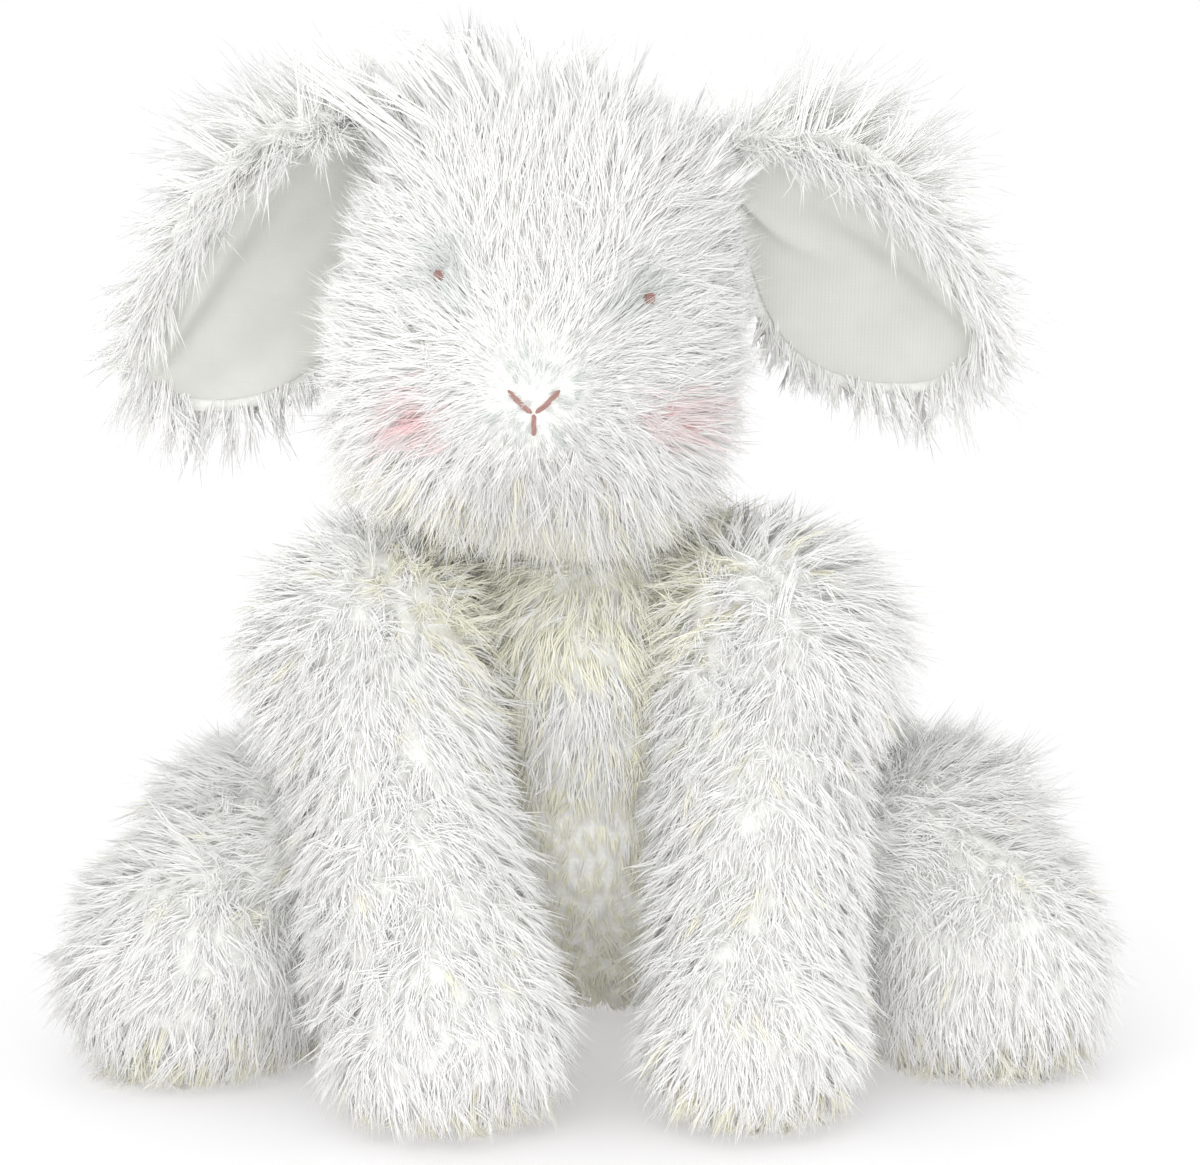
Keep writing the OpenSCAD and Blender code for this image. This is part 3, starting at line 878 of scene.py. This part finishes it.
for side in SIDES:
    body = f"ear_{side}"
    m = ear_matrix(side)
    inv = np.linalg.inv(m)
    back = ear_shell(f"{body}_back_plush", side, 0.0, -0.2 * MM, 3.2 * MM, 6)
    o = new_object(f"{body}_back_plush", back, body, [f"{body}_back"], [M_SKIN])
    lining = ear_shell(f"{body}_lining_satin", side, LINING_INSET, 0.9 * MM, 0.8 * MM, 8)
    o = new_object(f"{body}_lining_satin", lining, body, [f"{body}_lining"], [M_SATIN])

    def ear_place(p, inv=inv):
        """Place in the ear's own frame: share of its length, share of its half width, height."""
        q = p @ inv[:3, :3].T + inv[:3, 3]
        u = np.clip(q[:, 0] / EAR_LENGTH, 0.001, 0.999)
        half = ear_side(u, q[:, 1])
        return q, q[:, 0] / EAR_LENGTH, q[:, 1] / np.maximum(half, 2 * MM)

    def ear_look(p, n, m=m, ear_place=ear_place):
        q, u, v = ear_place(p)
        out = np.stack([q[:, 0] - (0.25 + 0.2 * smooth(-v, 0, 0.5)) * EAR_LENGTH, q[:, 1] * 1.6, 0 * u], 1)
        out = unit(out @ m[:3, :3].T)
        nz = n @ m[:3, 2]
        rear = smooth(-nz, 0.1, 0.8)
        tip = m[:3, 0]
        flow = out * (1 - rear)[:, None] + (tip + 0.3 * out) * rear[:, None]
        under = smooth(-v, 0.3, 0.9) * (1 - smooth(u, 0.75, 0.95))
        top = smooth(v, 0.55, 0.9) * (1 - smooth(u, 0.35, 0.6))
        flow = flow + (0.35 - 1.2 * top)[:, None] * DOWN
        fold = smooth(0.95 - v, 0.05, 0.2) * (1 - rear) * (v > 0)
        length = (20 - 10 * under - 3 * rear + 10 * top) * MM * (1 - 0.3 * fold)
        inner = smooth(rear, 0.85, 1.0) * (1 - smooth(np.abs(v), 0.5, 0.75)) * (1 - smooth(u, 0.78, 0.92))
        return dict(flow=flow, length=length, lean0=0.5 + 0.4 * rear - 0.2 * top,
                    lean1=0.9 + 0.4 * rear - 0.2 * top, sag=0.15 * (1 - top), turn=1.2,
                    clump=2.0 * MM, gather=0.8, thick=0.18 * MM, fuzz=0.1,
                    soft=0.7 - 0.55 * rear + 1.2 * inner)

    def ear_keep(p, n, m=m, ear_place=ear_place):
        q, u, v = ear_place(p)
        facing = n @ m[:3, 2] > 0.25
        upper = 0.62 + 0.16 * smooth(u, 0.4, 0.9)
        inner = (v < upper) & (v > -0.9) & (u < 0.95)
        return ~(facing & inner) & (u > -0.01)

    fur = Fur(f"{body}_fur", body, BASIC)
    root = from_head(np.array((EARS[side][0], 1, 1)) * EAR_ROOT)

    def near_root(c, root=root):
        """Twice as many tufts where the ear joins the head."""
        return 2 - smooth(np.linalg.norm(c - root, axis=1), 20 * MM, 45 * MM)

    grow(fur, back, seed=60 + len(side), density=CLUMPS * 1.3 * SHARE, per_clump=STRANDS, look=ear_look,
         tint=tints_by(), keep=ear_keep, weight=near_root)
    fur.build()

# ---------------------------------------------------------------- thread
def thread_material(name, colour, dark):
    return cloth_material(name, colour, dark, 0.35 * MM, 0.5, 0.3, 0.5, 0.4)


M_BROWN = thread_material("embroidery_brown", (0.4, 0.235, 0.21), (0.31, 0.17, 0.15))
M_THREAD = thread_material("white_thread", (0.86, 0.86, 0.83), (0.76, 0.76, 0.72))


def tubes(name, paths, radii, sides=6):
    """Closed round tubes along paths, tapered by radii at each point."""
    verts, faces = [], []
    for path, radius in zip(paths, radii):
        path = np.asarray(path, float)
        radius = np.broadcast_to(radius, len(path))
        tan = unit(np.gradient(path, axis=0))
        ref = np.array((0, 0, 1.0)) if abs(tan[0][2]) < 0.8 else np.array((1.0, 0, 0))
        base = len(verts)
        for p, d, r in zip(path, tan, radius):
            a = unit(np.cross(d, ref))
            b = np.cross(d, a)
            for k in range(sides):
                w = 2 * math.pi * k / sides
                verts.append(p + r * (math.cos(w) * a + math.sin(w) * b))
        for i in range(len(path) - 1):
            for k in range(sides):
                p, q = base + i * sides + k, base + i * sides + (k + 1) % sides
                faces.append((p, p + sides, q + sides, q))
        faces.append(tuple(base + k for k in range(sides)))
        last = base + (len(path) - 1) * sides
        faces.append(tuple(last + k for k in reversed(range(sides))))
    me = mesh_of(name, verts, faces)
    bm = bmesh.new()
    bm.from_mesh(me)
    bmesh.ops.recalc_face_normals(bm, faces=bm.faces)
    bm.to_mesh(me)
    bm.free()
    shade_smooth(me)
    return me


def islands(me):
    """Vertex places of each separate piece of a mesh."""
    bm = bmesh.new()
    bm.from_mesh(me)
    bmesh.ops.remove_doubles(bm, verts=bm.verts, dist=0.01 * MM)
    seen, found = set(), []
    for v in bm.verts:
        if v in seen:
            continue
        todo, piece = [v], []
        seen.add(v)
        while todo:
            w = todo.pop()
            piece.append(np.array(w.co))
            for e in w.link_edges:
                x = e.other_vert(w)
                if x not in seen:
                    seen.add(x)
                    todo.append(x)
        found.append(np.array(piece))
    bm.free()
    return found


def ends(points):
    """The two ends of a straight stitch, and its radius."""
    c = points.mean(0)
    _, _, axes = np.linalg.svd(points - c, full_matrices=False)
    s = (points - c) @ axes[0]
    w = np.linalg.norm(points - c - s[:, None] * axes[0], axis=1).max()
    return c + axes[0] * (s.min() + 0.3 * w), c + axes[0] * (s.max() - 0.3 * w), w


def twisted(a, b, radius, bow, plies=3, turns=0.6, steps=18):
    """Paths and radii of a twisted thread from a to b, standing off by bow in its middle."""
    t = np.linspace(0, 1, steps)
    axis = unit(b - a)
    ref = np.array((0, 1.0, 0)) if abs(axis[1]) < 0.8 else np.array((0, 0, 1.0))
    n1 = unit(np.cross(axis, ref))
    n2 = np.cross(axis, n1)
    taper = np.clip(np.sin(np.pi * (0.04 + 0.92 * t)) * 2.2, 0.3, 1)
    mid = a + (b - a) * t[:, None] + np.asarray(bow) * np.sin(np.pi * t)[:, None]
    paths, radii = [], []
    for k in range(plies):
        w = 2 * math.pi * (turns * t + k / plies)
        around = np.cos(w)[:, None] * n1 + np.sin(w)[:, None] * n2
        paths.append(mid + (radius * 0.5 * taper)[:, None] * around)
        radii.append(radius * 0.55 * taper)
    return paths, radii


def stitch(node, body, mat, thick=1.0, bow=(0, 0, 0), turns=0.6, proud=0.0):
    paths, radii = [], []
    for piece in islands(nodes[node].data):
        a, b, w = ends(piece)
        lift = np.array((0, -proud, 0))
        p, r = twisted(a + lift, b + lift, w * thick, bow, turns=turns)
        paths += p
        radii += r
    return new_object(f"{node}_thread", tubes(f"{node}_thread", paths, radii), body, [node], [mat])


FACE_PROUD = 1.1 * MM    # the face threads stand that far in front of their CAD solids, clear of the fur
KNOT = 1.5 * MM          # radius of an eye knot

for node in FACE_THREADS:
    droop = -0.3 * MM if "nose" in node else 0
    stitch(node, "head", M_BROWN, 0.85, (0, -0.3 * MM, droop), proud=FACE_PROUD)
for node, body in (("crown_seam_stitch", "head"), ("back_closing_stitch", "torso"),
                   ("ear_left_root_stitch", "ear_left"), ("ear_right_root_stitch", "ear_right")):
    stitch(node, body, M_THREAD)


def eye_knot(side):
    """A round dot of satin stitches, arched into a small dome."""
    c = centre(f"eye_{side}") - np.array((0, 0.4, 0)) * MM
    r = KNOT
    face = unit(np.array((0.25 if side == "left" else -0.35, -1, 0.12)))
    a = unit(np.cross(face, (0, 0, 1.0)))
    b = np.cross(a, face)
    paths, radii = [], []
    for k in np.linspace(-0.82, 0.82, 6):
        w = math.sqrt(1 - k * k)
        t = np.linspace(-1, 1, 9)
        rise = np.sqrt(np.clip(1 - k * k - (t * w) ** 2, 0, 1)) * 0.75
        paths.append(c + r * (t[:, None] * w * a + k * b) + r * rise[:, None] * face)
        radii.append(0.29 * MM * (1 - 0.35 * t ** 8))
    mesh = tubes(f"eye_{side}_knot", paths, radii)
    return new_object(f"eye_{side}_knot", mesh, "head", [f"eye_{side}"], [M_BROWN])


for side in SIDES:
    eye_knot(side)

# ---------------------------------------------------------------- tail and label
TAIL = skin_mesh("tail_skin", inset=4 * MM)
tail = new_object("tail_plush", TAIL, "torso", ["tail_skin"], [M_SKIN])


def tail_look(p, n):
    return dict(flow=DOWN + np.array((0, 0.1, 0)) + 0 * n,
                length=(16 - 4 * smooth(p[:, 1], 95 * MM, 110 * MM)) * MM, lean0=0.4, lean1=0.9, sag=0.1,
                clump=2.1 * MM, gather=0.75, thick=HAIR, fuzz=0.12, swirl=0.8, turn=0.0)


tail_fur = Fur("tail_fur", "torso", BASIC)
grow(tail_fur, TAIL, seed=71, density=CLUMPS * SHARE, per_clump=STRANDS, look=tail_look, tint=tints_by(),
     steps=3)
tail_fur.build()

M_TAPE = cloth_material("label_tape", (0.9, 0.9, 0.88), (0.84, 0.84, 0.81), 0.4 * MM, 0.55, 0.2, 0.3)


def care_label():
    """Blank woven tape, folded once, with its two ends sewn into the seam."""
    pts = get_co(nodes["care_label"].data)
    c = pts.mean(0)
    _, _, axes = np.linalg.svd(pts - c, full_matrices=False)
    long, wide, thick = axes
    long = long * np.sign(long[1])
    reach = [np.abs((pts - c) @ a).max() for a in (long, wide, thick)]
    gap = reach[2] * 0.55
    t = np.linspace(0, 1, 12)
    turn = np.linspace(math.pi / 2, -math.pi / 2, 7)[1:-1]
    bend = 0.8 * MM * np.sin(np.pi * t)
    out = [(-reach[0] + (2 * reach[0] - gap) * k, gap + b) for k, b in zip(t, bend)]
    back = [(x, y - 2 * gap) for x, y in out[::-1]]
    path = np.array(out + [(reach[0] - gap + gap * math.cos(w), gap * math.sin(w)) for w in turn] + back)
    across = np.linspace(-1, 1, 8)
    mid = c + path[:, None, :1] * long + path[:, None, 1:] * thick
    mid = mid + (across * reach[1])[None, :, None] * wide
    step = np.gradient(path, axis=0)
    normal = unit(step[:, :1] * thick - step[:, 1:] * long)[:, None]
    half = 0.16 * MM
    return slab("care_label_tape", mid + normal * half, mid - normal * half), reach


tape, reach = care_label()
o = new_object("care_label_tape", tape, "torso", ["care_label"], [M_TAPE])

# ---------------------------------------------------------------- inside
M_FILL = cloth_material("fibre_fill", (0.9, 0.9, 0.88), (0.82, 0.82, 0.79), 3 * MM, 0.9, 0.5, 0.6)
M_BAG = cloth_material("bag_cloth", (0.8, 0.77, 0.7), (0.7, 0.67, 0.6), 0.7 * MM, 0.85)
M_PELLET = cloth_material("pellet_plastic", (0.75, 0.78, 0.8), (0.62, 0.66, 0.7), 3 * MM, 0.4, 0.0, 0.7)


def filling(node):
    """Loose fill: the CAD shape with a lumpy face."""
    o = bpy.data.objects.new("scratch", nodes[node].data.copy())
    bpy.context.scene.collection.objects.link(o)
    r = o.modifiers.new("remesh", "REMESH")
    r.mode, r.voxel_size = "VOXEL", 3 * MM
    me = applied(o)
    me.name = f"{node}_fill"
    co, no = get_co(me), get_normals(me)
    set_co(me, co - no * (0.6 * MM + 0.4 * MM * waves(co, 12 * MM, 7))[:, None])
    shade_smooth(me)
    return me


def cloth_bag(node):
    """A tight little sack, its cloth as thick as the CAD one's."""
    o = hull_object(node)
    r = o.modifiers.new("remesh", "REMESH")
    r.mode, r.voxel_size = "VOXEL", 2.5 * MM
    k = o.modifiers.new("thick", "SOLIDIFY")
    k.thickness, k.offset = 0.6 * MM, -1
    me = applied(o)
    me.name = f"{node}_sack"
    co, no = get_co(me), get_normals(me)
    set_co(me, co - np.array((0, 0, 1)) * 0.15 * MM * waves(co, 9 * MM, 9)[:, None])
    shade_smooth(me)
    return me


for node in list(nodes):
    body = next((b for b in LIMBS if node.startswith(b)), "head" if node.startswith("head") else "torso")
    if node.endswith("stuffing") and not node.startswith("neck"):
        me = filling(node)
        o = new_object(me.name, me, body, [node], [M_FILL])
    elif node.endswith("pellet_bag"):
        me = cloth_bag(node)
        o = new_object(me.name, me, body, [node], [M_BAG])
    elif node.endswith("pellets") or node == "tail_stitch":
        for place in nodes[node].material_slots:
            place.material = M_THREAD if node == "tail_stitch" else M_PELLET

# ---------------------------------------------------------------- stage, light, camera
ground = bpy.data.meshes.new("floor")
ground.from_pydata([(-8, -8, 0), (8, -8, 0), (8, 8, 0), (-8, 8, 0)], [], [(0, 1, 2, 3)])
floor = bpy.data.objects.new("floor", ground)
bpy.context.scene.collection.objects.link(floor)
# like a light table: the photograph's shadows are very light
FLOOR_GLOW = 0.37
M_FLOOR = material("floor_white", (0.6, 0.595, 0.6), 0.75, specular=0.2)
shader(M_FLOOR).inputs["Emission Color"].default_value = (1.0, 0.985, 0.995, 1)
shader(M_FLOOR).inputs["Emission Strength"].default_value = FLOOR_GLOW
ground.materials.append(M_FLOOR)

world = bpy.data.worlds.new("studio")
bpy.context.scene.world = world
world.use_nodes = True
world.node_tree.nodes["Background"].inputs["Color"].default_value = (1, 1, 1, 1)
world.node_tree.nodes["Background"].inputs["Strength"].default_value = 1.02


def area_light(name, place, target, size, power):
    data = bpy.data.lights.new(name, "AREA")
    data.shape, data.size, data.energy = "DISK", size, power
    o = bpy.data.objects.new(name, data)
    o.location = place
    o.rotation_euler = (Vector(target) - Vector(place)).to_track_quat("-Z", "Y").to_euler()
    bpy.context.scene.collection.objects.link(o)


area_light("key", place=(-0.5, -1.3, 1.2), target=(0, 0, 0.12), size=1.2, power=6)
area_light("fill", place=(0.15, -1.5, 0.14), target=(0, 0, 0.1), size=1.1, power=9)

TARGET = Vector((3.5, -4.0, 122.9)) * MM
ELEVATION = math.radians(13)
DISTANCE = 1.33
cam_data = bpy.data.cameras.new("camera")
cam_data.lens = 150
cam_data.sensor_width = 36
cam = bpy.data.objects.new("camera", cam_data)
cam.location = TARGET + DISTANCE * Vector((0, -math.cos(ELEVATION), math.sin(ELEVATION)))
cam.rotation_euler = (math.pi / 2 - ELEVATION, 0, 0)
bpy.context.scene.collection.objects.link(cam)
bpy.context.scene.camera = cam
bpy.context.scene.view_settings.view_transform = "Standard"

bpy.context.scene.cycles.diffuse_bounces = 24
bpy.context.scene.cycles.max_bounces = 28
